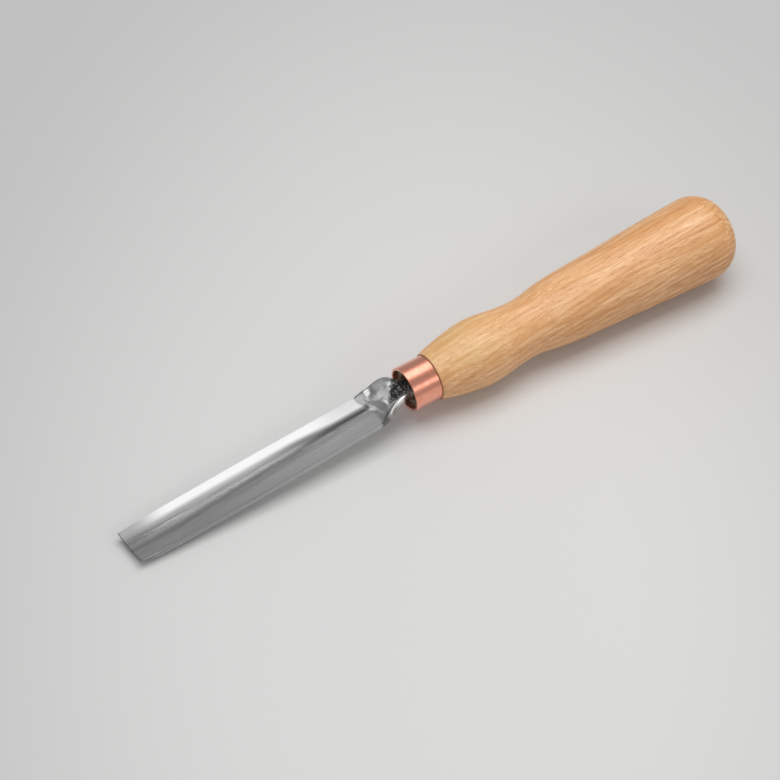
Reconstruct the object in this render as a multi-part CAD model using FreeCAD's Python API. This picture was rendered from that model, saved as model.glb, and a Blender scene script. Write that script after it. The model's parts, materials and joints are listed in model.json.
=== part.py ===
import FreeCAD, Part
import math
import os

# Straight carving gouge: forged blade and tang, copper ferrule, turned ash handle, bedding resin.
#
# Units are millimetres.  The tool is built in its own axis frame, then laid on the table.
#
#   axis frame   +X runs along the handle towards the butt, origin at the centre of the ferrule's mouth,
#                +Z up, with the hollow of the blade facing up
#   blade frame  the axis frame turned down about Y at the ferrule's mouth by the droop of the blade
#   row frame    the tool at rest on the plane Z = 0, touching it with the heel of the bevel and with the
#                rounded edge of the butt; origin at the bottom centre of the bounding box

Vector = FreeCAD.Vector
X_AXIS = Vector(1, 0, 0)
Y_AXIS = Vector(0, 1, 0)

# Ferrule: a cut length of drawn copper tube.
FERRULE_RADIUS = 9.0
FERRULE_WALL = 1.0
FERRULE_LENGTH = 11.4
FERRULE_EDGE_BREAK = 0.25

# Handle: turned ash.  Its front spigot sits inside the ferrule.
SPIGOT_RECESS = 1.8
SHOULDER_RADIUS = 9.5
HANDLE_STATIONS = [
    (17.0, 10.95),
    (24.5, 12.5),
    (33.7, 13.4),
    (44.0, 12.3),
    (54.0, 11.5),
    (65.0, 13.0),
    (80.0, 14.2),
    (108.0, 15.7),
    (122.0, 16.45),
]
BUTT_RADIUS = 17.1
BUTT_ROUND = 12.0
HANDLE_END = 149.0
BUTT_ROUND_START = HANDLE_END - BUTT_ROUND
BUTT_FLAT_RADIUS = BUTT_RADIUS - BUTT_ROUND

# Bore for the tang, with a drill point at its end.
BORE_RADIUS = 5.25
BORE_END = 82.0
BORE_POINT = 3.0
BEDDING_START = 7.0

# Tang: square, tapering, on the axis of the handle.
TANG_ROOT = 7.0
TANG_TIP = 3.2
TANG_START = -1.5
TANG_END = 76.0

# Blade, in the blade frame.  The rims of the hollow lie on its plane Z = 0.
BLADE_DROOP = 3.85
BLADE_OFFSET = -0.4
BLADE_TIP = -119.7
EDGE_THICKNESS = 0.15
BEVEL_ANGLE = 25.0
SIDE_TAPER = 0.35

# Stations of the ground blade: distance from the ferrule's mouth, half width, depth of the hollow,
# height of the side, and how far the belly drops below the foot of the side.
BLADE_STATIONS = [
    (BLADE_TIP, 7.8, 1.2, 2.9, 1.5),
    (-106.0, 8.35, 1.3, 2.8, 1.6),
    (-64.0, 8.7, 1.5, 2.3, 2.2),
    (-22.0, 8.4, 1.6, 2.0, 2.8),
]

# Stations of the forged shoulder and neck: distance, right and left limits across, height of the
# upper corners, height of the crown, height of the lower corners, height of the belly.
SHOULDER_STATIONS = [
    (-17.0, -8.3, 8.4, 0.0, -0.7, -2.0, -4.9),
    (-13.0, -8.0, 8.2, 0.7, 1.6, -2.0, -5.0),
    (-9.5, -6.6, 8.0, 1.5, 3.6, -2.0, -4.8),
    (-6.5, -4.6, 7.5, 2.0, 4.7, -2.0, -4.3),
    (-4.0, -3.9, 6.6, 2.2, 4.7, -1.9, -3.8),
    (-1.5, -3.5, 4.4, 2.1, 4.1, -1.9, -3.4),
    (1.5, -3.0, 3.1, 1.9, 3.5, -1.9, -3.0),
]


def point(x, y, z):
    return Vector(x, y, z)


def line(start, end):
    return Part.LineSegment(start, end).toShape()


def arc(start, middle, end):
    return Part.Arc(start, middle, end).toShape()


def turned(profile_edges):
    """Solid made by turning a closed outline in the XZ plane about the tool's axis."""
    return Part.Face(Part.Wire(profile_edges)).revolve(Vector(), X_AXIS, 360)


def turned_outline(corners):
    """Closed straight-sided outline through (distance, radius) corners."""
    points = [point(x, 0, r) for x, r in corners]
    following = points[1:] + points[:1]
    return [line(a, b) for a, b in zip(points, following)]


def cross_section(x, right, left, upper, crown, lower, belly, taper=0.0):
    """Closed four-sided section across the blade: hollow or crowned top, two sides, curved belly."""
    middle = (right + left) / 2
    upper_right = point(x, right, upper)
    upper_left = point(x, left, upper)
    lower_right = point(x, right + taper, lower)
    lower_left = point(x, left - taper, lower)
    return Part.Wire([
        arc(upper_right, point(x, middle, crown), upper_left),
        line(upper_left, lower_left),
        arc(lower_left, point(x, middle, belly), lower_right),
        line(lower_right, upper_right),
    ])


def make_ground_blade():
    """The straight blade between the cutting edge and the shoulder, before it is bevelled."""
    sections = []
    for x, half_width, hollow, side, belly in BLADE_STATIONS:
        bottom = -side - belly
        sections.append(cross_section(x, -half_width, half_width, 0, -hollow, -side, bottom, SIDE_TAPER))
    x, right, left, upper, crown, lower, belly = SHOULDER_STATIONS[0]
    sections.append(cross_section(x, right, left, upper, crown, lower, belly, SIDE_TAPER))
    return Part.makeLoft(sections, True, True)


def make_shoulder():
    """The forged shoulder, where the blade gathers into the neck."""
    sections = []
    for number, station in enumerate(SHOULDER_STATIONS):
        taper = SIDE_TAPER if number == 0 else 0.0
        sections.append(cross_section(*station, taper))
    return Part.makeLoft(sections, True, False)


def make_bevel_cutter():
    """Waste under the bevel: the hollow's curve, carried down and back from the cutting edge."""
    half_width, hollow = BLADE_STATIONS[0][1:3]
    overhang = 3.0
    depth = 20.0
    length = 24.0
    curve_radius = (half_width ** 2 + hollow ** 2) / (2 * hollow)
    reach = half_width + overhang
    rise = reach ** 2 / (2 * curve_radius) - hollow
    right = point(BLADE_TIP, -reach, rise - EDGE_THICKNESS)
    left = point(BLADE_TIP, reach, rise - EDGE_THICKNESS)
    middle = point(BLADE_TIP, 0, -hollow - EDGE_THICKNESS)
    low_left = point(BLADE_TIP, reach, -depth)
    low_right = point(BLADE_TIP, -reach, -depth)
    outline = Part.Wire([
        arc(right, middle, left),
        line(left, low_left),
        line(low_left, low_right),
        line(low_right, right),
    ])
    slope = math.radians(BEVEL_ANGLE)
    direction = point(math.cos(slope), 0, -math.sin(slope))
    return Part.Face(outline).extrude(direction * length)


def square_section(x, side, corner):
    """Square section across the axis, with its corners cut off."""
    half = side / 2
    cut = half - corner
    corners = [
        (-half, -cut), (-cut, -half), (cut, -half), (half, -cut),
        (half, cut), (cut, half), (-cut, half), (-half, cut),
    ]
    points = [point(x, y, z) for y, z in corners]
    return Part.makePolygon(points + points[:1])


def make_tang():
    root = square_section(TANG_START, TANG_ROOT, TANG_ROOT / 6)
    tip = square_section(TANG_END, TANG_TIP, TANG_TIP / 6)
    return Part.makeLoft([root, tip], True, True)


def into_axis_frame(shape):
    """Carry a shape from the blade frame to the axis frame."""
    placed = shape.copy()
    placed.rotate(Vector(), Y_AXIS, -BLADE_DROOP)
    placed.translate(point(0, 0, BLADE_OFFSET))
    return placed


def make_gouge_blade():
    forging = make_ground_blade().cut(make_bevel_cutter()).fuse(make_shoulder())
    return into_axis_frame(forging).fuse(make_tang()).removeSplitter()


def make_ferrule():
    inner = FERRULE_RADIUS - FERRULE_WALL
    edge = FERRULE_EDGE_BREAK
    return turned(turned_outline([
        (0, inner + edge),
        (0, FERRULE_RADIUS - edge),
        (edge, FERRULE_RADIUS),
        (FERRULE_LENGTH, FERRULE_RADIUS),
        (FERRULE_LENGTH, inner),
        (edge, inner),
    ]))


def make_bore(start):
    """The drilled hole for the tang, from a given distance to its point."""
    return turned(turned_outline([
        (start, 0),
        (start, BORE_RADIUS),
        (BORE_END, BORE_RADIUS),
        (BORE_END + BORE_POINT, 0),
    ]))


def make_handle():
    spigot = FERRULE_RADIUS - FERRULE_WALL
    front = point(FERRULE_LENGTH, 0, SHOULDER_RADIUS)
    widest = point(BUTT_ROUND_START, 0, BUTT_RADIUS)
    swell = Part.BSplineCurve()
    stations = [point(x, 0, r) for x, r in HANDLE_STATIONS]
    swell.interpolate([front] + stations + [widest], InitialTangent=point(1, 0, 0.32), FinalTangent=X_AXIS)
    corner = BUTT_ROUND * math.sqrt(0.5)
    on_round = point(BUTT_ROUND_START + corner, 0, BUTT_FLAT_RADIUS + corner)
    rim = point(HANDLE_END, 0, BUTT_FLAT_RADIUS)
    edges = [
        line(point(SPIGOT_RECESS, 0, 0), point(SPIGOT_RECESS, 0, spigot)),
        line(point(SPIGOT_RECESS, 0, spigot), point(FERRULE_LENGTH, 0, spigot)),
        line(point(FERRULE_LENGTH, 0, spigot), front),
        swell.toShape(),
        arc(widest, on_round, rim),
        line(rim, point(HANDLE_END, 0, 0)),
        line(point(HANDLE_END, 0, 0), point(SPIGOT_RECESS, 0, 0)),
    ]
    return turned(edges).cut(make_bore(SPIGOT_RECESS))


def make_tang_bedding(blade):
    return make_bore(BEDDING_START).cut(blade)


def resting_tilt():
    """Angle of the handle's axis above the table, in degrees, when heel and butt both touch it."""
    hollow, side, belly = BLADE_STATIONS[0][2:]
    depth = side + belly
    heel_x = BLADE_TIP + (depth - hollow - EDGE_THICKNESS) / math.tan(math.radians(BEVEL_ANGLE))
    droop = math.radians(BLADE_DROOP)
    heel = point(
        heel_x * math.cos(droop) + depth * math.sin(droop),
        0,
        heel_x * math.sin(droop) - depth * math.cos(droop) + BLADE_OFFSET,
    )
    round_centre = point(BUTT_ROUND_START, 0, -BUTT_FLAT_RADIUS)
    span = round_centre - heel
    return math.degrees(math.asin(BUTT_ROUND / span.Length) - math.atan2(span.z, span.x))


def lay_on_table(shapes):
    """Tilt the tool onto its heel and butt, and put the origin at the bottom centre of its box."""
    tilt = resting_tilt()
    for shape in shapes.values():
        shape.rotate(Vector(), Y_AXIS, -tilt)
    box = Part.makeCompound(list(shapes.values())).optimalBoundingBox()
    shift = point(-(box.XMin + box.XMax) / 2, -(box.YMin + box.YMax) / 2, -box.ZMin)
    for shape in shapes.values():
        shape.translate(shift)
    print("tilt of the handle", round(tilt, 4), "shift", shift)


def main():
    blade = make_gouge_blade()
    shapes = {
        "gouge_blade": blade,
        "ferrule": make_ferrule(),
        "handle": make_handle(),
        "tang_bedding": make_tang_bedding(blade),
    }
    lay_on_table(shapes)
    os.makedirs("parts", exist_ok=True)
    for name, shape in shapes.items():
        print(name, "solids", len(shape.Solids), "valid", shape.isValid(), "volume", round(shape.Volume, 1))
        shape.exportStep("parts/" + name + ".step")


main()
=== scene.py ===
import json
import math

import bpy
import numpy as np
from mathutils import Matrix, Vector


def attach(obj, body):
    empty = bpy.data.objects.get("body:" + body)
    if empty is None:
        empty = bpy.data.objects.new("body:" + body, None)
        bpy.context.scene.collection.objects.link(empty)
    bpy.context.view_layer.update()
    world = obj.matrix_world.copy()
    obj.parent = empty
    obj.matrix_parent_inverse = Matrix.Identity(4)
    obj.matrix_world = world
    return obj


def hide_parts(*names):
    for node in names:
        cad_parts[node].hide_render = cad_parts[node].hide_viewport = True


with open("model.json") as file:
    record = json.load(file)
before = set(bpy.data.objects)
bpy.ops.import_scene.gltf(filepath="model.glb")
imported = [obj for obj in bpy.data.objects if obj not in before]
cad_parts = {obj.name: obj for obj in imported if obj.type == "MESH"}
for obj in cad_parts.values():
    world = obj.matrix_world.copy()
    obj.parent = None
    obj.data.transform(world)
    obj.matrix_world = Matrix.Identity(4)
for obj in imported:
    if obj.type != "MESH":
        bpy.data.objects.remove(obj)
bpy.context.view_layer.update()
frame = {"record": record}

# Straight carving gouge lying on a pale table.  Shapes are worked out in millimetres in the tool's own
# frames, as in the CAD model, and carried to the row frame in metres.
#   axis frame   +X along the handle towards the butt, origin at the centre of the ferrule's mouth
#   blade frame  the axis frame turned down about Y by the droop of the blade

RECORD = frame["record"]
MM = 0.001

HANDLE_END = 149.0
BLADE_DROOP = math.radians(3.85)
BLADE_OFFSET = -0.4

BUTT = next(m for m in RECORD["mounts"] if m["name"] == "butt_face")
ALONG = np.array(BUTT["axis"]) / np.linalg.norm(BUTT["axis"])
UPWARD = np.array([-ALONG[2], 0.0, ALONG[0]])
MOUTH = np.array(BUTT["pos_m"]) - HANDLE_END * MM * ALONG
TILT = math.atan2(ALONG[2], ALONG[0])


# ---------------------------------------------------------------- frames and meshes

def to_row(points):
    """Axis frame in millimetres to the row frame in metres."""
    p = np.asarray(points, float) * MM
    return MOUTH + p[..., :1] * ALONG + p[..., 1:2] * np.array([0.0, 1.0, 0.0]) + p[..., 2:] * UPWARD


def smooth_step(low, high, value):
    t = np.clip((value - low) / (high - low), 0.0, 1.0)
    return t * t * (3.0 - 2.0 * t)


def spline(stations, values, at):
    """Smooth curve through the stations, with no overshoot (monotone cubic)."""
    x = np.asarray(stations, float)
    y = np.asarray(values, float)
    step = np.diff(x)
    slope = np.diff(y) / step
    tangent = np.zeros_like(y)
    tangent[0] = slope[0]
    tangent[-1] = slope[-1]
    for i in range(1, len(x) - 1):
        if slope[i - 1] * slope[i] > 0:
            before = step[i] + 2 * step[i - 1]
            after = 2 * step[i] + step[i - 1]
            tangent[i] = (before + after) / (after / slope[i - 1] + before / slope[i])
    at = np.clip(np.asarray(at, float), x[0], x[-1])
    k = np.clip(np.searchsorted(x, at, side="right") - 1, 0, len(x) - 2)
    t = (at - x[k]) / step[k]
    a = (1 + 2 * t) * (1 - t) ** 2 * y[k]
    b = t * (1 - t) ** 2 * step[k] * tangent[k]
    c = t * t * (3 - 2 * t) * y[k + 1]
    d = t * t * (t - 1) * step[k] * tangent[k + 1]
    return a + b + c + d


def make_object(name, vertices, faces, sharp_angle=None):
    mesh = bpy.data.meshes.new(name)
    mesh.from_pydata([tuple(v) for v in vertices], [], [tuple(int(i) for i in f) for f in faces])
    mesh.validate()
    mesh.update()
    mesh.polygons.foreach_set("use_smooth", [True] * len(mesh.polygons))
    if sharp_angle is not None:
        mesh.set_sharp_from_angle(angle=math.radians(sharp_angle))
    piece = bpy.data.objects.new(name, mesh)
    bpy.context.scene.collection.objects.link(piece)
    return piece


def loop_faces(rows, columns, closed_rows=False):
    """Quads between closed loops of points laid out as rows x columns."""
    faces = []
    last = rows if closed_rows else rows - 1
    for i in range(last):
        a = i * columns
        b = ((i + 1) % rows) * columns
        for j in range(columns):
            k = (j + 1) % columns
            faces.append((a + j, b + j, b + k, a + k))
    return faces


LONGEST_ROUND = 0.45


def round_corner(before, corner, after, radius, count):
    """Points that round off a corner, using at most a set share of each side."""
    to_before = before - corner
    to_after = after - corner
    length_before = np.linalg.norm(to_before) + 1e-9
    length_after = np.linalg.norm(to_after) + 1e-9
    start = corner + to_before / length_before * min(radius, LONGEST_ROUND * length_before)
    end = corner + to_after / length_after * min(radius, LONGEST_ROUND * length_after)
    points = []
    for i in range(count):
        t = i / (count - 1)
        points.append((1 - t) ** 2 * start + 2 * t * (1 - t) * corner + t * t * end)
    return points


def turned_piece(name, outline, segments, sharp_angle, wobble):
    """Piece turned about the tool's axis from a closed list of (distance, radius) points."""
    outline = np.asarray(outline, float)
    angle = np.linspace(0.0, 2 * math.pi, segments, endpoint=False)
    x = np.repeat(outline[:, :1], segments, axis=1)
    r = np.repeat(outline[:, 1:], segments, axis=1)
    r = r + wobble(x, r, angle[None, :])
    points = np.stack([x, r * np.cos(angle), r * np.sin(angle)], axis=-1)
    faces = loop_faces(len(outline), segments, closed_rows=True)
    return make_object(name, to_row(points).reshape(-1, 3), faces, sharp_angle)


# ---------------------------------------------------------------- blade, shoulder, neck and tang

BLADE_TIP = -119.7
BEVEL_SLOPE = math.tan(math.radians(25.0))
EDGE_THICKNESS = 0.15
TANG_END = 76.0

# Stations along the forging: distance, near and far limits across, height of the near and far upper
# corners, height of the two sides, height of the belly.
FORGING = np.array([
    (-119.7, -7.80, 7.80, 0.00, 0.00, 2.90, 2.90, -4.40),
    (-106.0, -8.35, 8.35, 0.00, 0.00, 2.80, 2.80, -4.40),
    (-85.0, -8.58, 8.58, 0.00, 0.00, 2.55, 2.55, -4.45),
    (-64.0, -8.70, 8.70, 0.00, 0.00, 2.30, 2.30, -4.50),
    (-43.0, -8.58, 8.58, 0.00, 0.00, 2.15, 2.15, -4.65),
    (-22.0, -8.40, 8.40, 0.00, 0.00, 2.00, 2.00, -4.80),
    (-17.5, -8.38, 8.38, 0.00, 0.15, 2.00, 2.15, -4.90),
    (-15.2, -8.25, 8.36, 0.00, 0.95, 2.05, 2.90, -4.95),
    (-13.0, -7.85, 8.32, 0.20, 1.85, 2.40, 3.60, -5.00),
    (-11.0, -7.15, 8.28, 0.55, 2.65, 2.80, 4.30, -4.90),
    (-9.0, -6.15, 8.22, 1.00, 3.30, 3.20, 4.90, -4.70),
    (-7.0, -5.15, 8.10, 1.50, 3.75, 3.70, 5.20, -4.35),
    (-5.0, -4.55, 7.80, 1.85, 3.95, 3.95, 5.20, -3.95),
    (-3.0, -4.20, 6.90, 2.05, 3.75, 4.00, 5.00, -3.65),
    (-1.0, -3.90, 5.00, 2.10, 3.00, 4.00, 4.50, -3.45),
    (1.5, -3.50, 3.40, 2.00, 2.10, 3.90, 4.00, -3.30),
    (7.0, -3.25, 3.25, 2.60, 2.60, 5.20, 5.20, -3.25),
    (76.0, -1.60, 1.60, 1.35, 1.35, 2.70, 2.70, -1.60),
])

# Height of the upper face behind the channel, at five places from the near side to the far side.
UPPER_FACE = np.array([
    (-17.5, 0.00, -1.20, -1.45, -0.85, 0.15),
    (-16.2, 0.00, -1.15, -1.10, -0.45, 0.85),
    (-15.2, 0.00, -1.10, -0.75, -0.15, 1.10),
    (-13.0, 0.20, -0.70, 0.15, 0.75, 1.55),
    (-11.0, 0.55, 0.00, 1.15, 1.90, 2.15),
    (-9.0, 1.00, 1.10, 2.25, 3.20, 3.05),
    (-7.0, 1.50, 2.05, 3.15, 4.20, 3.75),
    (-5.0, 1.85, 2.75, 3.80, 4.70, 4.05),
    (-3.0, 2.05, 3.00, 4.05, 4.60, 3.80),
    (-1.0, 2.10, 3.05, 3.90, 4.05, 3.00),
    (1.5, 2.00, 3.00, 3.55, 3.25, 2.10),
    (7.0, 2.60, 3.20, 3.25, 3.20, 2.60),
    (76.0, 1.35, 1.58, 1.60, 1.58, 1.35),
])
UPPER_FACE_PLACES = [-1.0, -0.5, 0.0, 0.5, 1.0]
UPPER_FACE_MARGIN = 2.0

# Depth of the ground channel, and where it ends, from the near side to the far side.
CHANNEL_DEPTH = [(-119.7, 1.2), (-106.0, 1.3), (-64.0, 1.5), (-22.0, 1.6), (-10.0, 1.6)]
CHANNEL_END = [(-8.5, -15.8), (-7.4, -13.8), (-6.0, -12.1), (-4.1, -11.1), (-2.0, -11.2),
               (0.5, -12.2), (2.6, -14.2), (5.0, -16.2), (8.5, -18.2)]
CHANNEL_END_WIDTH = [(-4.0, 1.1), (0.0, 2.0), (4.0, 3.4)]
CHANNEL_LIP_HEIGHT = 0.18
CHANNEL_LIP_BEHIND = 2.0
CHANNEL_LIP_WIDTH = 0.8

# Hammer marks on the shoulder: distance, place across, radius, depth.
HAMMER_MARKS = [
    (-6.4, 4.7, 1.8, 0.42),
    (-9.8, 1.4, 1.9, 0.26),
    (-4.0, 1.2, 1.3, 0.24),
    (-7.4, -1.8, 1.8, 0.26),
    (-9.4, 5.4, 1.2, 0.16),
    (-10.6, -3.0, 1.3, 0.20),
]
HAMMER_RIPPLE = 0.015

# The flat, bright facet on the far side of the shoulder.
FACET_X = -12.3
FACET_Y = 6.5
FACET_RADIUS = 1.8
FACET_HEIGHT = 1.25
FACET_RISE_ACROSS = 0.28
FACET_RISE_ALONG = 0.04

# How the edges are rounded: on the ground blade, added where the forging gathers, and at the near lip.
GATHER_START = -14.0
GATHER_END = -6.0
SIDE_TAPER = 0.35
NEAR_ROUND = 0.24
NEAR_ROUND_GATHERED = 0.30
NEAR_LIP_ROUND = 1.45
FAR_ROUND = 0.22
FAR_ROUND_GATHERED = 0.7
FOOT_ROUND = 0.35
NEAR_FOOT_GATHERED = 0.25
FAR_FOOT_GATHERED = 0.7
ROUND_SHARE = 0.9

# The cutting edge is ground out of square about a point near the far side.
EDGE_SKEW = 0.07
SKEW_CENTRE = 3.9
SKEW_LENGTH = 16.0

TOP_COUNT = 46
SIDE_COUNT = 5
BELLY_COUNT = 30
CORNER_COUNT = 5
# Stretches of the forging, each with its start and its number of sections.
STRETCHES = [(BLADE_TIP, 46), (BLADE_TIP + 9.0, 110), (-24.0, 118), (2.0, 40)]


def column(table, index, at):
    return spline(table[:, 0], table[:, index], at)


def share_across(y, near, far):
    """Place between the near limit, -1, and the far limit, 1."""
    return (2 * y - near - far) / (far - near)


def channel_height(x, across):
    depth = spline(*zip(*CHANNEL_DEPTH), x)
    return -depth * (1.0 - across ** 2)


def hammer_marks(x, y):
    """Shallow dents and a faint ripple on the shoulder."""
    total = np.zeros_like(y)
    for mark_x, mark_y, radius, depth in HAMMER_MARKS:
        total = total - depth * np.exp(-((x - mark_x) ** 2 + (y - mark_y) ** 2) / radius ** 2)
    return total + HAMMER_RIPPLE * np.sin(1.9 * x + 1.1 * y) * np.sin(1.3 * x - 2.1 * y + 1.0)


def upper_height(x, y, near, far):
    """Height of the upper face at x for an array of y."""
    across = share_across(y, near, far)
    channel = channel_height(x, across)
    if x < UPPER_FACE[0, 0] - UPPER_FACE_MARGIN:
        return channel
    knots = [float(column(UPPER_FACE, i + 1, x)) for i in range(len(UPPER_FACE_PLACES))]
    forged = spline(UPPER_FACE_PLACES, knots, across)
    past_end = x - spline(*zip(*CHANNEL_END), y)
    width = np.interp(y, *zip(*CHANNEL_END_WIDTH))
    mix = smooth_step(-width * 0.8, width * 1.3, past_end)
    lip = CHANNEL_LIP_HEIGHT * np.exp(-((past_end - CHANNEL_LIP_BEHIND) / CHANNEL_LIP_WIDTH) ** 2)
    height = channel * (1.0 - mix) + forged * mix + lip * smooth_step(-7.5, -5.0, y)
    height = height + hammer_marks(x, y) * smooth_step(0.5, 3.0, past_end)
    along = x - FACET_X
    beside = y - FACET_Y
    facet = np.exp(-(along / FACET_RADIUS) ** 4 - (beside / FACET_RADIUS) ** 4)
    plane = FACET_HEIGHT + FACET_RISE_ACROSS * beside + FACET_RISE_ALONG * along
    return height * (1.0 - facet) + plane * facet


def lower_height(x, y, near, far, foot_heights, belly):
    """Height of the under side, with the bevel ground up to the cutting edge."""
    across = share_across(y, near, far)
    foot = np.interp(across, [-1, 1], foot_heights)
    under = foot + (belly - foot) * (1.0 - across ** 2)
    tip_half = FORGING[0, 2]
    tip_depth = CHANNEL_DEPTH[0][1]
    edge = -tip_depth * (1.0 - (y / tip_half) ** 2) - EDGE_THICKNESS
    bevel = edge - (x - BLADE_TIP) * BEVEL_SLOPE
    return np.maximum(under, bevel)


def point_on(height, x, y, *shape):
    """Point of the upper or lower face at one place across."""
    return np.array([y, float(height(x, np.array([y]), *shape)[0])])


def row_on(height, x, start, end, count, *shape):
    """Evenly spaced points of the upper or lower face."""
    y = np.linspace(start, end, count)
    return np.stack([y, height(x, y, *shape)], axis=1)


def side_points(start, end):
    """Points strictly between the two ends of a side."""
    return list(np.linspace(start, end, SIDE_COUNT + 1)[1:-1])


def forging_loop(x):
    """Closed section of the forging at x, as (across, height) points."""
    station = [float(column(FORGING, i, x)) for i in range(1, FORGING.shape[1])]
    near, far, upper_near, upper_far, side_near, side_far, belly = station
    gathered = float(smooth_step(GATHER_START, GATHER_END, x))
    lip = float(smooth_step(-9.0, -3.0, x))
    near_round = NEAR_ROUND + NEAR_ROUND_GATHERED * gathered + NEAR_LIP_ROUND * lip
    far_round = FAR_ROUND + FAR_ROUND_GATHERED * gathered
    near_foot_round = FOOT_ROUND + NEAR_FOOT_GATHERED * gathered
    far_foot_round = FOOT_ROUND + FAR_FOOT_GATHERED * gathered
    taper = SIDE_TAPER * float(smooth_step(-10.0, -20.0, x))
    foot_near = near + taper
    foot_far = far - taper

    upper = (near, far)
    lower = (near, far, [upper_near - side_near, upper_far - side_far], belly)
    top = row_on(upper_height, x, near + near_round, far - far_round, TOP_COUNT, *upper)
    low = row_on(lower_height, x, foot_far - far_foot_round, foot_near + near_foot_round, BELLY_COUNT, *lower)
    near_up = point_on(upper_height, x, near, *upper)
    far_up = point_on(upper_height, x, far, *upper)
    far_low = point_on(lower_height, x, foot_far, *lower)
    near_low = point_on(lower_height, x, foot_near, *lower)

    points = list(top)
    points += round_corner(top[-1], far_up, far_low, far_round * ROUND_SHARE, CORNER_COUNT)[1:]
    points += side_points(points[-1], far_low)
    points += round_corner(points[-1], far_low, low[0], far_foot_round, CORNER_COUNT)[:-1]
    points += list(low)
    points += round_corner(low[-1], near_low, near_up, near_foot_round, CORNER_COUNT)[1:]
    near_edge = round_corner(near_low, near_up, top[0], near_round * ROUND_SHARE, CORNER_COUNT)
    points += side_points(points[-1], near_edge[0])
    points += near_edge[:-1]
    return np.array(points)


def forging_stations():
    stations = []
    ends = [start for start, count in STRETCHES[1:]] + [TANG_END]
    for (start, count), end in zip(STRETCHES, ends):
        stations += list(np.linspace(start, end, count)[:-1])
    return stations + [TANG_END]


def make_blade():
    rows = []
    for x in forging_stations():
        section = forging_loop(x)
        across = section[:, 0]
        height = section[:, 1]
        before_mouth = 1.0 - float(smooth_step(1.0, 8.0, x))
        turn = BLADE_DROOP * before_mouth
        skew = EDGE_SKEW * float(smooth_step(BLADE_TIP + SKEW_LENGTH, BLADE_TIP, x))
        along = x - skew * (across - SKEW_CENTRE)
        rows.append(np.stack([
            along * math.cos(turn) - height * math.sin(turn),
            across,
            along * math.sin(turn) + height * math.cos(turn) + BLADE_OFFSET * before_mouth,
        ], axis=1))
    rows = np.array(rows)
    columns = rows.shape[1]
    faces = [f[::-1] for f in loop_faces(len(rows), columns)]
    faces.append(tuple(range(columns)))
    last = (len(rows) - 1) * columns
    faces.append(tuple(last + i for i in reversed(range(columns))))
    return make_object("forged_gouge_blade", to_row(rows).reshape(-1, 3), faces, 50.0)


# ---------------------------------------------------------------- ferrule, handle and bedding

FERRULE_RADIUS = 9.0
FERRULE_BORE = 8.0
FERRULE_LENGTH = 11.4
FRONT_EDGE = 0.28
BACK_EDGE = 0.2


def quarter_turn(count):
    """Angles from nothing to a right angle, both included."""
    return [math.pi / 2 * i / count for i in range(count + 1)]


def make_ferrule():
    outline = []
    for a in quarter_turn(6):
        radius = FERRULE_BORE + FRONT_EDGE - FRONT_EDGE * math.cos(a)
        outline.append((FRONT_EDGE - FRONT_EDGE * math.sin(a), radius))
    for a in quarter_turn(6):
        radius = FERRULE_RADIUS - FRONT_EDGE + FRONT_EDGE * math.sin(a)
        outline.append((FRONT_EDGE - FRONT_EDGE * math.cos(a), radius))
    outline += [(x, FERRULE_RADIUS) for x in np.linspace(0.6, FERRULE_LENGTH - 0.4, 24)]
    for a in quarter_turn(4):
        radius = FERRULE_RADIUS - BACK_EDGE + BACK_EDGE * math.cos(a)
        outline.append((FERRULE_LENGTH - BACK_EDGE + BACK_EDGE * math.sin(a), radius))
    outline += [(x, FERRULE_BORE) for x in np.linspace(FERRULE_LENGTH, 0.6, 20)]

    def wobble(x, r, angle):
        """The tube is a little oval outside."""
        return 0.015 * np.sin(2 * angle + 0.4) * (r > 8.9)

    return turned_piece("copper_ferrule", outline, 144, 40.0, wobble)


HANDLE_PROFILE = [(11.4, 9.5), (14.3, 10.33), (17.0, 10.98), (20.5, 11.75), (24.5, 12.45), (29.0, 13.12),
                  (33.7, 13.4), (38.6, 13.05), (43.8, 12.33), (49.0, 11.7), (54.0, 11.48), (59.0, 11.95),
                  (65.0, 13.0), (70.0, 13.58), (76.0, 14.02), (86.0, 14.5), (96.0, 15.0), (106.0, 15.58),
                  (116.0, 16.15), (127.0, 16.72), (133.0, 17.0), (137.0, 17.1)]
SPIGOT_RECESS = 1.8
SPIGOT_RADIUS = 8.0
BORE_RADIUS = 5.25
BORE_END = 82.0
BUTT_ROUND = 12.0
BUTT_ROUND_START = HANDLE_END - BUTT_ROUND
BUTT_FLAT_RADIUS = 5.1


def natural_spline(points, at):
    """Smooth curve through points, with continuous curvature."""
    x, y = (np.array(v, float) for v in zip(*points))
    n = len(x)
    h = np.diff(x)
    system = np.zeros((n, n))
    right = np.zeros(n)
    system[0, 0] = system[-1, -1] = 1.0
    for i in range(1, n - 1):
        system[i, i - 1] = h[i - 1]
        system[i, i] = 2 * (h[i - 1] + h[i])
        system[i, i + 1] = h[i]
        right[i] = 6 * ((y[i + 1] - y[i]) / h[i] - (y[i] - y[i - 1]) / h[i - 1])
    bend = np.linalg.solve(system, right)
    k = np.clip(np.searchsorted(x, at, side="right") - 1, 0, n - 2)
    t = at - x[k]
    b = (y[k + 1] - y[k]) / h[k] - h[k] * (2 * bend[k] + bend[k + 1]) / 6
    return y[k] + b * t + bend[k] / 2 * t ** 2 + (bend[k + 1] - bend[k]) / (6 * h[k]) * t ** 3


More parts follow.
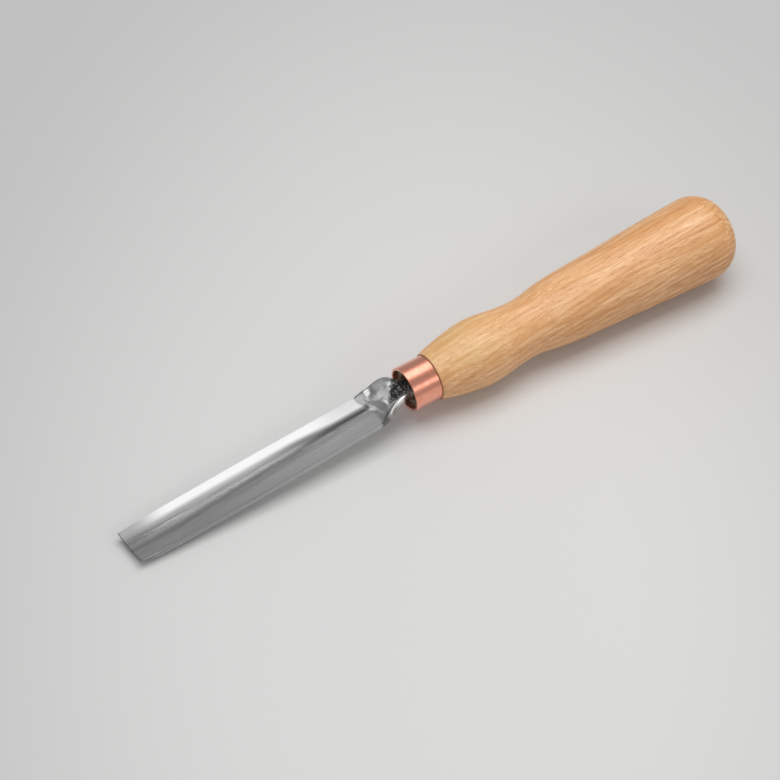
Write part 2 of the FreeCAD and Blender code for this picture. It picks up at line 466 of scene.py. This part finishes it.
def make_handle():
    # Bore and the recessed front of the spigot, from the inside out.
    outline = [(x, BORE_RADIUS) for x in np.linspace(BORE_END, 2.1, 40)]
    outline += [(1.9, 5.35), (SPIGOT_RECESS, 5.6)]
    outline += [(SPIGOT_RECESS, r) for r in np.linspace(5.9, 7.75, 8)]
    outline += [(1.85, 7.95), (2.1, SPIGOT_RADIUS)]
    # Spigot under the ferrule, and the step up to the turned outside.
    outline += [(x, SPIGOT_RADIUS) for x in np.linspace(2.6, FERRULE_LENGTH, 12)]
    outline += [(FERRULE_LENGTH, r) for r in np.linspace(8.2, 9.3, 6)]
    outline += [(11.46, 9.42), (11.6, 9.54)]
    swell_x = np.linspace(12.0, BUTT_ROUND_START, 200)
    outline += list(zip(swell_x, natural_spline(HANDLE_PROFILE, swell_x)))
    for a in quarter_turn(24)[1:]:
        radius = BUTT_FLAT_RADIUS + BUTT_ROUND * math.cos(a)
        outline.append((BUTT_ROUND_START + BUTT_ROUND * math.sin(a), radius))
    outline += [(HANDLE_END, r) for r in np.linspace(4.6, 0.4, 10)]
    # Along the axis back to the drill point, which closes the outline.
    outline += [(HANDLE_END, 0.02), (85.0, 0.02), (84.2, 1.4), (83.1, 3.3)]

    def wobble(x, r, angle):
        """The handle is a little out of round, apart from its two ends."""
        outside = (r > 9.0) * smooth_step(12.0, 20.0, x) * smooth_step(HANDLE_END, 140.0, x)
        return outside * (0.05 * np.sin(angle + 0.03 * x) + 0.03 * np.sin(2 * angle + 0.06 * x))

    return turned_piece("ash_handle", outline, 192, 50.0, wobble)


RESIN_RADIUS = 5.22
RESIN_SAG = 0.5


def tang_reach(x, angle):
    """Distance from the axis to just off the tang's skin."""
    half_y = float(column(FORGING, 2, x))
    half_z = -float(column(FORGING, 7, x))
    c = np.abs(np.cos(angle)) / half_y
    s = np.abs(np.sin(angle)) / half_z
    return 1.0 / (c ** 5 + s ** 5) ** 0.2 + 0.02


def make_bedding():
    """Cured resin round the tang, with a meniscus at its front."""
    segments = 72
    angle = np.linspace(0.0, 2 * math.pi, segments, endpoint=False)
    reach = tang_reach(7.3, angle)
    loops = [(85.0, 0.02), (83.5, 2.6), (82.0, RESIN_RADIUS)]
    loops += [(x, RESIN_RADIUS) for x in np.linspace(70.0, 7.6, 16)]
    for t in np.linspace(0.0, 1.0, 9):
        loops.append((7.0 + RESIN_SAG * math.sin(math.pi * t), RESIN_RADIUS * (1 - t) + reach * t))
    loops += [(x, tang_reach(x, angle)) for x in np.linspace(8.5, 75.5, 18)]
    loops += [(76.1, 1.2), (76.2, 0.02)]
    points = []
    for x, radius in loops:
        r = np.full(segments, radius)
        points.append(np.stack([np.full(segments, x), r * np.cos(angle), r * np.sin(angle)], axis=1))
    faces = loop_faces(len(loops), segments)
    last = (len(loops) - 1) * segments
    faces.append(tuple(reversed(range(segments))))
    faces.append(tuple(last + i for i in range(segments)))
    return make_object("tang_resin", to_row(np.array(points)).reshape(-1, 3), faces, 50.0)


# ---------------------------------------------------------------- materials

class Nodes:
    """Short calls for building a node tree round one shader."""

    def __init__(self, name):
        self.material = bpy.data.materials.new(name)
        self.material.use_nodes = True
        self.tree = self.material.node_tree
        self.tree.nodes.clear()
        self.shader = self.tree.nodes.new("ShaderNodeBsdfPrincipled")
        output = self.tree.nodes.new("ShaderNodeOutputMaterial")
        self.tree.links.new(self.shader.outputs[0], output.inputs[0])

    def feed(self, socket, value):
        if hasattr(value, "links"):
            self.tree.links.new(value, socket)
        else:
            socket.default_value = value

    def position(self):
        """Row-frame position in metres."""
        return self.tree.nodes.new("ShaderNodeTexCoord").outputs["Object"]

    def local(self):
        """Axis-frame position in millimetres."""
        mapping = self.tree.nodes.new("ShaderNodeMapping")
        mapping.vector_type = "TEXTURE"
        mapping.inputs["Location"].default_value = tuple(MOUTH)
        mapping.inputs["Rotation"].default_value = (0.0, -TILT, 0.0)
        mapping.inputs["Scale"].default_value = (MM, MM, MM)
        self.feed(mapping.inputs["Vector"], self.position())
        return mapping.outputs[0]

    def stretched(self, vector, x, y, z):
        node = self.tree.nodes.new("ShaderNodeVectorMath")
        node.operation = "MULTIPLY"
        self.feed(node.inputs[0], vector)
        node.inputs[1].default_value = (x, y, z)
        return node.outputs[0]

    def split(self, vector):
        node = self.tree.nodes.new("ShaderNodeSeparateXYZ")
        self.feed(node.inputs[0], vector)
        return node.outputs

    def noise(self, vector, scale=1.0, detail=2.0, roughness=0.5):
        node = self.tree.nodes.new("ShaderNodeTexNoise")
        self.feed(node.inputs["Vector"], vector)
        node.inputs["Scale"].default_value = scale
        node.inputs["Detail"].default_value = detail
        node.inputs["Roughness"].default_value = roughness
        return node.outputs["Fac"]

    def math(self, operation, a, b=0.0):
        node = self.tree.nodes.new("ShaderNodeMath")
        node.operation = operation
        self.feed(node.inputs[0], a)
        self.feed(node.inputs[1], b)
        return node.outputs[0]

    def product(self, first, *others):
        for other in others:
            first = self.math("MULTIPLY", first, other)
        return first

    def plus(self, first, *others):
        for other in others:
            first = self.math("ADD", first, other)
        return first

    def minus(self, first, *others):
        for other in others:
            first = self.math("SUBTRACT", first, other)
        return first

    def larger(self, a, b):
        return self.math("MAXIMUM", a, b)

    def centred(self, noise, reach):
        """A noise's value about its middle, times a reach."""
        return self.product(self.minus(noise, 0.5), reach)

    def ramp(self, value, low, high, out_low=0.0, out_high=1.0, smooth=True):
        """Rise from out_low at low to out_high at high; low may be the larger of the two."""
        node = self.tree.nodes.new("ShaderNodeMapRange")
        node.interpolation_type = "SMOOTHSTEP" if smooth else "LINEAR"
        self.feed(node.inputs["Value"], value)
        node.inputs["From Min"].default_value = low
        node.inputs["From Max"].default_value = high
        node.inputs["To Min"].default_value = out_low
        node.inputs["To Max"].default_value = out_high
        return node.outputs[0]

    def stripe(self, value, start, full, fade, end):
        """One between full and fade, and nothing outside start and end."""
        return self.product(self.ramp(value, start, full), self.ramp(value, end, fade))

    def dim(self, tone, mask, kept):
        """The tone, brought down to the kept share of it where the mask is one."""
        return self.product(tone, self.ramp(mask, 0.0, 1.0, 1.0, kept))

    def mix(self, factor, a, b, blend="MIX"):
        node = self.tree.nodes.new("ShaderNodeMix")
        node.data_type = "RGBA"
        node.blend_type = blend
        self.feed(node.inputs[0], factor)
        self.feed(node.inputs[6], a)
        self.feed(node.inputs[7], b)
        return node.outputs[2]

    def cover(self, colour, mask, strength, other):
        """The colour, partly covered by another where the mask is one."""
        return self.mix(self.product(mask, strength), colour, other)

    def bump(self, height, distance, normal=None):
        node = self.tree.nodes.new("ShaderNodeBump")
        node.inputs["Strength"].default_value = 1.0
        node.inputs["Distance"].default_value = distance
        self.feed(node.inputs["Height"], height)
        if normal is not None:
            self.feed(node.inputs["Normal"], normal)
        return node.outputs[0]

    def set(self, **values):
        for name, value in values.items():
            self.feed(self.shader.inputs[name.replace("_", " ")], value)
        return self.material


def rgb(red, green, blue):
    return (red, green, blue, 1.0)


def grey(value, tint=(1.0, 1.0, 1.0)):
    return rgb(value * tint[0], value * tint[1], value * tint[2])


STEEL = grey(0.58, (1.0, 1.0, 0.995))
FORGED_DARK = grey(0.44, (0.99, 1.0, 0.99))
FORGED_LIGHT = grey(0.58, (1.0, 1.0, 0.99))
SCALE_BLACK = grey(0.016, (1.0, 0.97, 0.95))
SCALE_GREY = grey(0.085, (1.0, 1.0, 0.98))
BARE_SPECK = grey(0.95)
# Painted highlight and painted shade for the shoulder's edges.
PAINTED_LIP_HIGHLIGHT = grey(0.90)
PAINTED_GROOVE_SHADE = grey(0.08)
PAINTED_RIM_SHADE = grey(0.07)


def painted_reflection_bands(n, x, y, coarse):
    """Painted reflections: light and dark bands along the channel in place of the lights' reflections, in
    millimetres along and across it.
    """
    # Painted reflection: a dark line that drifts across the blade, with lighter painted bands beside it and
    # painted shade below the far wall.
    drift = n.ramp(x, -97.0, -27.0, -1.6, 2.3, False)
    beside = n.minus(y, n.plus(drift, n.centred(coarse, 1.6)))
    reflected_dark_line = n.product(n.stripe(beside, -1.7, -0.1, 0.1, 1.9), n.ramp(x, -52.0, -38.0, 0.26, 0.55))
    light_band = n.product(n.ramp(beside, 0.6, 3.0), n.ramp(y, 2.7, 1.6), n.ramp(x, -45.0, -75.0), 0.30)
    near_part = n.product(n.ramp(beside, -1.6, -4.6), n.ramp(x, -100.0, -30.0, 0.05, 0.42))
    below_wall = n.product(n.ramp(y, 6.6, 3.0), n.ramp(beside, 1.0, 3.0), 0.14)
    tone = n.minus(n.plus(light_band, near_part), reflected_dark_line, below_wall)
    # Painted reflection: a second, straighter dark line along the foot of the far wall.
    from_line = n.math("ABSOLUTE", n.minus(y, n.ramp(x, -50.0, -27.0, 3.9, 2.8)))
    strength = n.plus(n.ramp(x, -116.0, -98.0, 0.05, 0.42), n.ramp(x, -66.0, -40.0, 0.0, 0.26))
    second_line = n.product(n.ramp(from_line, 2.4, 0.3), strength)
    tone = n.product(n.plus(tone, 1.0), n.minus(1.0, second_line))
    # Painted reflection: the far half is darker towards the cutting edge.
    tip_dimming = n.product(n.ramp(x, -95.0, -119.0), n.ramp(y, -1.0, 3.0, 0.25, 1.0))
    return n.dim(tone, tip_dimming, 0.45)


def edge_tone(n, tone, x, y, z):
    """Darker cutting edge, painted shade on the near side face and near edge, and the far wall's painted
    reflection dimmed towards the shoulder.
    """
    from_edge = n.plus(x, n.product(y, EDGE_SKEW))
    tone = n.product(tone, n.ramp(from_edge, -118.4, -119.1, 1.0, 0.45))
    blade_plane = n.plus(n.product(x, math.tan(BLADE_DROOP)), BLADE_OFFSET)
    below = n.minus(blade_plane, z)
    # Painted shade on the near side face and on the near arris.
    near_side = n.product(n.stripe(below, 0.42, 0.60, 1.6, 1.9), n.ramp(y, -7.5, -7.7))
    tone = n.dim(tone, near_side, 0.55)
    near_edge = n.product(n.ramp(y, -8.0, -8.25), n.ramp(below, 0.45, 0.30))
    tone = n.dim(tone, near_edge, 0.62)
    # Painted reflection on the far wall, dimmed towards the shoulder.
    far_wall = n.product(n.ramp(y, 4.0, 6.0), n.ramp(x, -42.0, -20.0))
    return n.dim(tone, far_wall, 0.80)


def shoulder_edges(n, colour, x, y, z):
    """Painted shade on the far rim and the near corner, a painted shade line beside the near edge, and a
    painted highlight on the near edge's lip.
    """
    # Painted shade on the far rim and the near corner.
    rim = n.product(n.ramp(y, 7.55, 8.1), n.stripe(x, -17.5, -16.5, -6.5, -5.0))
    corner = n.product(n.ramp(y, -6.6, -7.6), n.ramp(x, -15.6, -14.4), n.ramp(z, 0.1, -0.8))
    colour = n.cover(colour, n.larger(rim, corner), 0.8, PAINTED_RIM_SHADE)
    near_limit = n.plus(n.ramp(x, -13.0, -5.0, -7.85, -4.55, False), n.ramp(x, -5.0, 1.5, 0.0, 1.05, False))
    inward = n.minus(y, near_limit)
    # Painted shade in a narrow line beside the near lip.
    groove_shade = n.product(n.stripe(inward, 1.0, 1.25, 1.6, 2.1), n.stripe(x, -14.5, -12.5, -1.0, 1.0))
    colour = n.cover(colour, groove_shade, 0.75, PAINTED_GROOVE_SHADE)
    # Painted highlight on the near lip.
    lip = n.product(n.ramp(inward, 1.05, 0.75), n.ramp(x, -9.0, -5.0), n.ramp(z, -1.2, 0.2))
    return n.cover(colour, lip, 0.85, PAINTED_LIP_HIGHLIGHT)


def scale_place(n, x, y, blotch):
    """Forge scale covers the neck behind a slanted, broken front, and leaves the near edge bright."""
    slant = n.product(n.minus(n.larger(y, -1.2), 2.0), 0.85)
    front = n.plus(n.minus(x, slant), n.centred(blotch, 4.0))
    off_near_edge = n.larger(n.ramp(y, -3.5, -2.8), n.ramp(x, 0.5, 2.0))
    return n.product(n.ramp(front, -5.4, -3.8), off_near_edge)


def scale_colour(n, p, blotch, speck):
    """Black scale with clumps of bare specks."""
    clump = n.noise(p, scale=0.75, detail=1.0)
    black = n.mix(n.ramp(blotch, 0.35, 0.65), SCALE_BLACK, SCALE_GREY)
    bare = n.product(n.ramp(speck, 0.52, 0.58), n.ramp(clump, 0.42, 0.52))
    return n.mix(bare, black, BARE_SPECK)


def steel_material():
    n = Nodes("ground_and_forged_steel")
    p = n.local()
    x, y, z = n.split(p)
    grind = n.noise(n.stretched(p, 0.05, 5.0, 5.0), detail=3.0, roughness=0.6)
    coarse = n.noise(n.stretched(p, 0.010, 0.9, 0.9))
    cloud = n.noise(n.stretched(p, 0.12, 0.25, 0.25))
    blotch = n.noise(p, scale=0.5)
    speck = n.noise(p, scale=2.3, detail=3.0, roughness=0.7)
    fine = n.plus(n.product(grind, 0.6), n.product(coarse, 0.4))
    forged = n.ramp(x, -15.0, -12.5)
    scale = scale_place(n, x, y, blotch)

    # Painted reflections and painted shade, multiplied into the ground steel's colour.
    tone = painted_reflection_bands(n, x, y, coarse)
    tone = n.plus(n.product(tone, n.minus(1.0, forged)), forged)
    tone = n.product(tone, n.ramp(fine, 0.3, 0.7, 0.92, 1.04))
    tone = edge_tone(n, tone, x, y, z)
    ground = n.mix(1.0, STEEL, tone, "MULTIPLY")
    skin = n.mix(n.ramp(cloud, 0.35, 0.65), FORGED_DARK, FORGED_LIGHT)
    colour = shoulder_edges(n, n.mix(forged, ground, skin), x, y, z)
    colour = n.mix(scale, colour, scale_colour(n, p, blotch, speck))

    rough = n.ramp(fine, 0.3, 0.7, 0.20, 0.29)
    rough = n.plus(rough, n.product(forged, 0.02), n.product(scale, 0.10))
    metal = n.ramp(scale, 0.0, 1.0, 1.0, 0.85)
    normal = n.bump(grind, 0.000006)
    normal = n.bump(coarse, 0.00004, normal)
    normal = n.bump(n.product(blotch, forged), 0.00010, normal)
    normal = n.bump(n.product(speck, scale), 0.00090, normal)
    return n.set(Base_Color=colour, Metallic=metal, Roughness=rough, Normal=normal)


COPPER_BRIGHT = rgb(1.0, 0.395, 0.258)
COPPER_DULL = rgb(0.95, 0.345, 0.215)
COPPER_RING = rgb(1.0, 0.45, 0.29)
PAINTED_BORE_SHADE = rgb(0.42, 0.15, 0.085)


def copper_material():
    n = Nodes("drawn_copper_tube")
    p = n.local()
    _, y, z = n.split(p)
    radius = n.math("SQRT", n.plus(n.math("POWER", y, 2.0), n.math("POWER", z, 2.0)))
    rings = n.noise(n.stretched(p, 7.0, 0.35, 0.35), detail=3.0, roughness=0.6)
    cloud = n.noise(p, scale=0.35, detail=3.0)
    inside = n.ramp(radius, 8.75, 8.25)
    colour = n.mix(n.ramp(cloud, 0.38, 0.66), COPPER_BRIGHT, COPPER_DULL)
    colour = n.cover(colour, n.ramp(rings, 0.5, 0.75), 0.35, COPPER_RING)
    # Painted shade on the inside of the tube.
    colour = n.cover(colour, inside, 0.6, PAINTED_BORE_SHADE)
    rough = n.ramp(n.plus(n.product(rings, 0.5), n.product(cloud, 0.5)), 0.3, 0.7, 0.24, 0.36)
    normal = n.bump(rings, 0.00001)
    normal = n.bump(cloud, 0.00002, normal)
    return n.set(Base_Color=colour, Metallic=1.0, Roughness=rough, Normal=normal,
                 Coat_Weight=1.0, Coat_IOR=1.65, Coat_Roughness=0.25)


ASH_LIGHT = rgb(0.970, 0.590, 0.300)
ASH_MIDDLE = rgb(0.800, 0.405, 0.155)
ASH_RING = rgb(0.640, 0.300, 0.108)
ASH_WARM = rgb(0.58, 0.225, 0.064)
ASH_PORE = rgb(0.400, 0.160, 0.052)
ASH_FIBRE = rgb(0.62, 0.265, 0.080)
ASH_SAPWOOD = rgb(0.66, 0.50, 0.18)
SPIGOT_END = rgb(0.13, 0.075, 0.042)
SEAT_LINE = rgb(0.30, 0.11, 0.05)
RING_WIDTH = 2.1


def early_wood(n, p, x, y, z):
    """The porous band of each year's ring, in flat layers that lean a little from the axis."""
    wander = n.noise(n.stretched(p, 0.006, 0.05, 0.05))
    ripple = n.noise(n.stretched(p, 0.02, 0.3, 0.3))
    across = n.plus(n.product(y, 0.827), n.product(z, 0.562))
    across = n.minus(across, n.product(x, 0.095))
    across = n.plus(across, n.centred(wander, 6.0), n.centred(ripple, 0.8))
    phase = n.math("FRACT", n.math("DIVIDE", across, RING_WIDTH))
    return n.stripe(phase, 0.0, 0.10, 0.12, 0.62)


def ash_material():
    n = Nodes("oiled_ash")
    p = n.local()
    x, y, z = n.split(p)
    early = early_wood(n, p, x, y, z)
    fibre = n.noise(n.stretched(p, 0.04, 2.9, 2.9), detail=4.0, roughness=0.72)
    streak = n.noise(n.stretched(p, 0.013, 0.42, 0.42), detail=4.0, roughness=0.62)
    warm = n.noise(n.stretched(p, 0.010, 0.85, 0.85), detail=4.0, roughness=0.65)
    pore = n.noise(n.stretched(p, 0.20, 4.2, 4.2), detail=1.0)
    patch = n.noise(n.stretched(p, 0.02, 0.10, 0.10))
    towards_butt = n.ramp(x, 20.0, 125.0, 0.40, 1.0)
    end_grain = n.ramp(x, 143.0, 148.5)

    colour = n.mix(n.ramp(streak, 0.36, 0.64), ASH_LIGHT, ASH_MIDDLE)
    rings = n.product(early, towards_butt, n.ramp(patch, 0.38, 0.62, 0.05, 0.85))
    rings = n.larger(rings, n.product(end_grain, n.product(early, 0.40)))
    colour = n.mix(rings, colour, ASH_RING)
    colour = n.cover(colour, n.ramp(warm, 0.50, 0.66, 0.0, 0.80), towards_butt, ASH_WARM)
    dash = n.product(n.ramp(pore, 0.54, 0.68), n.ramp(early, 0.0, 1.0, 0.22, 0.80))
    colour = n.cover(colour, dash, towards_butt, ASH_PORE)
    lengthwise = n.ramp(end_grain, 0.0, 1.0, 1.0, 0.30)
    colour = n.cover(colour, n.ramp(fibre, 0.38, 0.60, 0.58, 0.0), lengthwise, ASH_FIBRE)
    sapwood = n.product(n.ramp(x, 60.0, 20.0), n.ramp(z, 4.0, 12.0))
    colour = n.cover(colour, sapwood, 0.28, ASH_SAPWOOD)
    # Dark front of the spigot, and the line where the handle's step meets the ferrule.
    colour = n.cover(colour, n.ramp(x, 2.6, 2.0), 0.92, SPIGOT_END)
    colour = n.cover(colour, n.stripe(x, 11.0, 11.3, 11.45, 11.85), 0.6, SEAT_LINE)
    rough = n.ramp(fibre, 0.3, 0.7, 0.52, 0.42)
    normal = n.bump(n.product(dash, -1.0), 0.00006)
    normal = n.bump(fibre, 0.00003, normal)
    return n.set(Base_Color=colour, Roughness=rough, Normal=normal, Specular_IOR_Level=0.85)


RESIN_DARK = rgb(0.020, 0.015, 0.012)
RESIN_BROWN = rgb(0.045, 0.033, 0.026)


def resin_material():
    n = Nodes("cured_resin")
    p = n.local()
    cloud = n.noise(p, scale=0.8, detail=3.0)
    fine = n.noise(p, scale=4.0, detail=3.0)
    colour = n.mix(n.ramp(cloud, 0.35, 0.65), RESIN_DARK, RESIN_BROWN)
    rough = n.ramp(fine, 0.3, 0.7, 0.35, 0.6)
    return n.set(Base_Color=colour, Roughness=rough, Normal=n.bump(fine, 0.00006))


TABLE_GREY = rgb(0.770, 0.770, 0.760)
TABLE_PALE = rgb(0.795, 0.792, 0.782)
TABLE_PAINTED_FALLOFF = rgb(0.620, 0.618, 0.612)
LIT_POOL_X = -0.046
LIT_POOL_Y = -0.068


def table_material():
    """Pale table with a painted pool of light: a little duller away from an oval middle.  Distances are in
    metres.
    """
    n = Nodes("pale_table")
    p = n.position()
    x, y, _ = n.split(p)
    cloud = n.noise(p, scale=2.0)
    fine = n.noise(p, scale=900.0)
    from_x = n.minus(x, LIT_POOL_X)
    from_y = n.minus(y, LIT_POOL_Y)
    short_way = n.plus(n.product(from_x, 0.839), n.product(from_y, -0.544))
    long_way = n.plus(n.product(from_x, 0.30), n.product(from_y, 0.46))
    far_off = n.math("SQRT", n.plus(n.math("POWER", short_way, 2.0), n.math("POWER", long_way, 2.0)))
    colour = n.mix(n.ramp(cloud, 0.3, 0.7), TABLE_GREY, TABLE_PALE)
    # Painted light falloff away from the pool's middle.
    colour = n.mix(n.ramp(far_off, 0.06, 0.23), colour, TABLE_PAINTED_FALLOFF)
    return n.set(Base_Color=colour, Roughness=n.ramp(fine, 0.3, 0.7, 0.5, 0.6))


# ---------------------------------------------------------------- put the tool together

def fit_out(piece, node, material):
    piece.data.materials.append(material)
    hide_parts(node)
    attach(piece, "root")
    return piece


BLADE = fit_out(make_blade(), "gouge_blade", steel_material())
FERRULE = fit_out(make_ferrule(), "ferrule", copper_material())
HANDLE = fit_out(make_handle(), "handle", ash_material())
fit_out(make_bedding(), "tang_bedding", resin_material())


# ---------------------------------------------------------------- table, light and camera

TABLE_RINGS = [0.0005, 0.6, 1.2, 2.4, 5.0, 10.0, 20.0]
TABLE_SEGMENTS = 48


def make_table():
    """Round table top, far wider than the view."""
    vertices = []
    for radius in TABLE_RINGS:
        for j in range(TABLE_SEGMENTS):
            a = 2 * math.pi * j / TABLE_SEGMENTS
            vertices.append((radius * math.cos(a), radius * math.sin(a), 0.0))
    faces = loop_faces(len(TABLE_RINGS), TABLE_SEGMENTS)
    faces.append(tuple(range(TABLE_SEGMENTS)))
    table = make_object("table_top", vertices, faces)
    table.data.materials.append(table_material())
    return table


AIM = Vector((-0.01296, 0.01285, 0.0))
LIGHT_DISTANCE = 1.4


def softbox(name, across, forward, width, height, radiance, only=None):
    """Rectangular light aimed at the tool, which lights one piece or all.

    across is its angle from the zenith towards +Y and forward its angle towards +X, in degrees; width is
    its size along the tool and height its size across, in metres.
    """
    across = math.radians(across)
    forward = math.radians(forward)
    data = bpy.data.lights.new(name, "AREA")
    data.shape = "RECTANGLE"
    data.size = width
    data.size_y = height
    data.energy = radiance * math.pi * width * height
    lamp = bpy.data.objects.new(name, data)
    bpy.context.scene.collection.objects.link(lamp)
    direction = Vector((
        math.sin(forward),
        math.cos(forward) * math.sin(across),
        math.cos(forward) * math.cos(across),
    ))
    z_axis = direction.normalized()
    y_axis = z_axis.cross(Vector((1.0, 0.0, 0.0))).normalized()
    x_axis = y_axis.cross(z_axis)
    axes = Matrix((x_axis, y_axis, z_axis)).transposed()
    lamp.matrix_world = Matrix.Translation(AIM + direction * LIGHT_DISTANCE) @ axes.to_4x4()
    lamp.visible_camera = False
    if only is not None:
        group = bpy.data.collections.new(name + "_receivers")
        group.objects.link(only)
        lamp.light_linking.receiver_collection = group


def light_room(table):
    """Dim surroundings, a main light each for the table, handle, ferrule and blade, three more for the blade
    and one fill for all.
    """
    world = bpy.data.worlds.new("studio")
    bpy.context.scene.world = world
    world.use_nodes = True
    background = world.node_tree.nodes["Background"]
    background.inputs["Color"].default_value = rgb(0.985, 0.992, 1.0)
    background.inputs["Strength"].default_value = 0.36
    softbox("table_key", 5, 10, 1.9, 0.95, 2.25, table)
    softbox("handle_key", 4, 6, 1.6, 0.9, 3.5, HANDLE)
    softbox("ferrule_key", 19, 10, 1.9, 0.90, 1.55, FERRULE)
    softbox("blade_key", 3, 14, 1.5, 0.84, 1.42, BLADE)
    softbox("blade_front", -16, -38, 0.9, 0.8, 0.75, BLADE)
    softbox("blade_side", 32, -28, 0.9, 0.8, 0.24, BLADE)
    softbox("blade_lip", -62, 10, 1.0, 1.5, 0.8, BLADE)
    softbox("fill", -54, 20, 1.0, 0.38, 1.45)


CAMERA_AZIMUTH = math.radians(-32.93)
CAMERA_ELEVATION = math.radians(51.0)
CAMERA_DISTANCE = 0.9932


def place_camera():
    data = bpy.data.cameras.new("camera")
    data.sensor_width = 36.0
    data.lens = 120.0
    data.clip_start = 0.01
    data.clip_end = 100.0
    camera = bpy.data.objects.new("camera", data)
    bpy.context.scene.collection.objects.link(camera)
    direction = Vector((
        math.sin(CAMERA_AZIMUTH) * math.cos(CAMERA_ELEVATION),
        -math.cos(CAMERA_AZIMUTH) * math.cos(CAMERA_ELEVATION),
        math.sin(CAMERA_ELEVATION),
    ))
    camera.location = AIM + direction * CAMERA_DISTANCE
    camera.rotation_euler = direction.to_track_quat("Z", "Y").to_euler()
    bpy.context.scene.camera = camera


light_room(make_table())
place_camera()
bpy.context.scene.view_settings.view_transform = "Standard"
